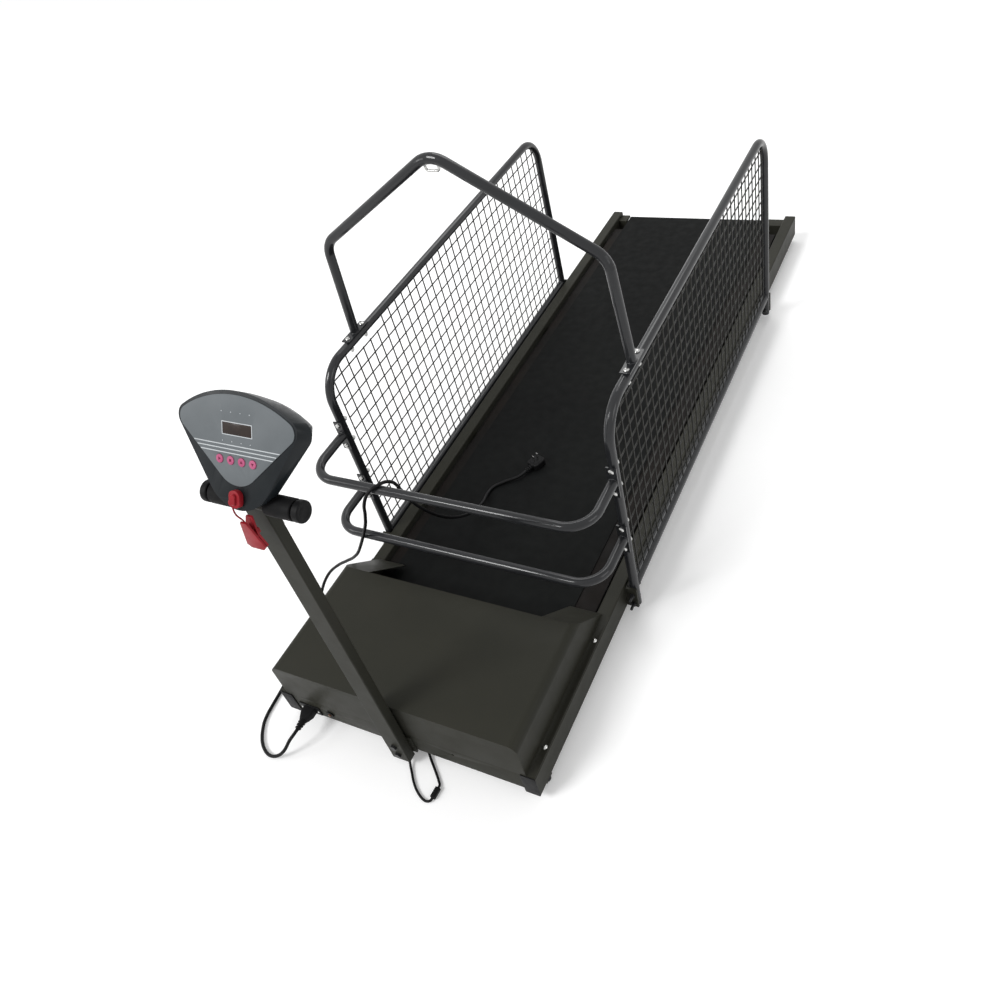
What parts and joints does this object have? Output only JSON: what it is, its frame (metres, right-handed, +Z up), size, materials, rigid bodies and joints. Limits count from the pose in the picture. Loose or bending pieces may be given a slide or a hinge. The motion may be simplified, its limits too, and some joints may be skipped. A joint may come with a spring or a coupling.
{
  "type": "dog_treadmill",
  "caption": "Dog treadmill with a low powered running belt, wire side guards, front bars, an overhead leash hoop and a console on a post",
  "frame": {"origin": "on the floor, at the middle of the width and of the length between the safety key's front and the belt's tail end", "axes": "+Z is up, +Y runs from the console end to the tail end, +X is the right-hand rail"},
  "size_m": [0.725, 2.0089, 0.9147],
  "materials": {
    "frame_paint": "semi-gloss olive-grey powder coat",
    "tube_paint": "glossy charcoal-grey paint on steel tube",
    "wire_mesh": "thin dark coated wire",
    "belt_rubber": "matt, fine-textured belt",
    "black_rubber": "matt black rubber and foam",
    "deck_board": "dark faced board",
    "bare_steel": "turned steel",
    "zinc_steel": "zinc-plated steel",
    "bright_screw": "bright plated steel",
    "black_steel": "blackened steel",
    "motor_paint": "black motor enamel",
    "black_plastic": "moulded black plastic",
    "amber_plastic": "dark amber button",
    "cord_pvc": "black flexible sheath",
    "console_shell": "satin charcoal moulding",
    "overlay_film": "blue-grey printed film",
    "smoked_window": "dark smoked window",
    "circuit_board": "green circuit board",
    "pink_plastic": "satin pink button",
    "red_plastic": "satin red moulding",
    "red_cord": "thin red woven cord"
  },
  "bodies": {
    "frame": {"left_rail": "frame_paint", "right_rail": "frame_paint", "rail_end_caps": "black_plastic", "front_crossbar": "frame_paint", "cross_members": "frame_paint", "rear_feet": "black_rubber", "running_deck": "deck_board", "deck_cushions": "black_rubber", "running_belt": "belt_rubber", "roller_axles": "zinc_steel", "roller_brackets": "frame_paint", "adjuster_bolts": "zinc_steel", "motor_body": "motor_paint", "motor_tray": "frame_paint", "drive_belt": "black_rubber", "controller_board": "circuit_board", "motor_hood": "frame_paint", "small_screws": "bright_screw", "mains_inlet": "black_plastic", "breaker_body": "black_plastic", "mains_connector": "black_plastic", "mains_cord": "cord_pvc", "mains_plug": "black_plastic", "left_guard_frame": "tube_paint", "right_guard_frame": "tube_paint", "left_guard_mesh": "wire_mesh", "right_guard_mesh": "wire_mesh", "frame_bolts": "black_steel", "upper_front_bar": "tube_paint", "lower_front_bar": "tube_paint", "overhead_hoop": "tube_paint", "tube_bolts": "bright_screw", "leash_eye": "bright_screw", "console_post": "frame_paint", "handle_grips": "black_rubber", "console_front": "console_shell", "console_back": "console_shell", "console_overlay": "overlay_film", "display_window": "smoked_window", "console_board": "circuit_board", "console_cable": "cord_pvc", "cable_connector": "black_plastic"},
    "front_roller_body": {"front_roller": "bare_steel", "front_bearings": "bare_steel"},
    "rear_roller_body": {"rear_roller": "bare_steel", "rear_bearings": "bare_steel"},
    "motor_rotor": {"motor_shaft": "bare_steel"},
    "left_wheel_body": {"left_wheel": "black_rubber"},
    "right_wheel_body": {"right_wheel": "black_rubber"},
    "breaker_button_body": {"breaker_button": "amber_plastic"},
    "start_button_body": {"button_start": "pink_plastic"},
    "stop_button_body": {"button_stop": "pink_plastic"},
    "slower_button_body": {"button_slower": "pink_plastic"},
    "faster_button_body": {"button_faster": "pink_plastic"},
    "safety_key_body": {"safety_key": "red_plastic", "key_cord": "red_cord", "key_clip": "red_plastic"},
    "clip_jaw_body": {"clip_jaw": "red_plastic"}
  },
  "joints": [
    {"name": "front_roller_turn", "type": "hinge", "parent": "frame", "child": "front_roller_body", "pos_m": [0, -0.69122, 0.0492], "axis": [1, 0, 0], "continuous": true},
    {"name": "rear_roller_turn", "type": "hinge", "parent": "frame", "child": "rear_roller_body", "pos_m": [0, 0.95298, 0.0492], "axis": [1, 0, 0], "continuous": true},
    {"name": "motor_turn", "type": "hinge", "parent": "frame", "child": "motor_rotor", "pos_m": [0, -0.81622, 0.113], "axis": [1, 0, 0], "continuous": true},
    {"name": "left_wheel_turn", "type": "hinge", "parent": "frame", "child": "left_wheel_body", "pos_m": [-0.2725, -0.88622, 0.009], "axis": [1, 0, 0], "continuous": true},
    {"name": "right_wheel_turn", "type": "hinge", "parent": "frame", "child": "right_wheel_body", "pos_m": [0.2725, -0.88622, 0.009], "axis": [1, 0, 0], "continuous": true},
    {"name": "breaker_trip", "type": "slide", "parent": "frame", "child": "breaker_button_body", "axis": [0, -1, 0], "range_m": [0, 0.004]},
    {"name": "start_press", "type": "slide", "parent": "frame", "child": "start_button_body", "axis": [0, 0.848, -0.5299], "range_m": [0, 0.001], "stiffness_N_per_m": 800},
    {"name": "stop_press", "type": "slide", "parent": "frame", "child": "stop_button_body", "axis": [0, 0.848, -0.5299], "range_m": [0, 0.001], "stiffness_N_per_m": 800},
    {"name": "slower_press", "type": "slide", "parent": "frame", "child": "slower_button_body", "axis": [0, 0.848, -0.5299], "range_m": [0, 0.001], "stiffness_N_per_m": 800},
    {"name": "faster_press", "type": "slide", "parent": "frame", "child": "faster_button_body", "axis": [0, 0.848, -0.5299], "range_m": [0, 0.001], "stiffness_N_per_m": 800},
    {"name": "safety_key_pull", "type": "slide", "parent": "frame", "child": "safety_key_body", "axis": [0, -0.848, 0.5299], "range_m": [0, 0.018]},
    {"name": "clip_open", "type": "hinge", "parent": "safety_key_body", "child": "clip_jaw_body", "pos_m": [0.005, -0.96802, 0.69], "axis": [1, 0, 0], "range_deg": [0, 18], "stiffness_Nm_per_rad": 0.5}
  ],
  "couplings": [
    {"joint": "rear_roller_turn", "follows": "front_roller_turn", "ratio": 1},
    {"joint": "motor_turn", "follows": "front_roller_turn", "ratio": 2}
  ]
}
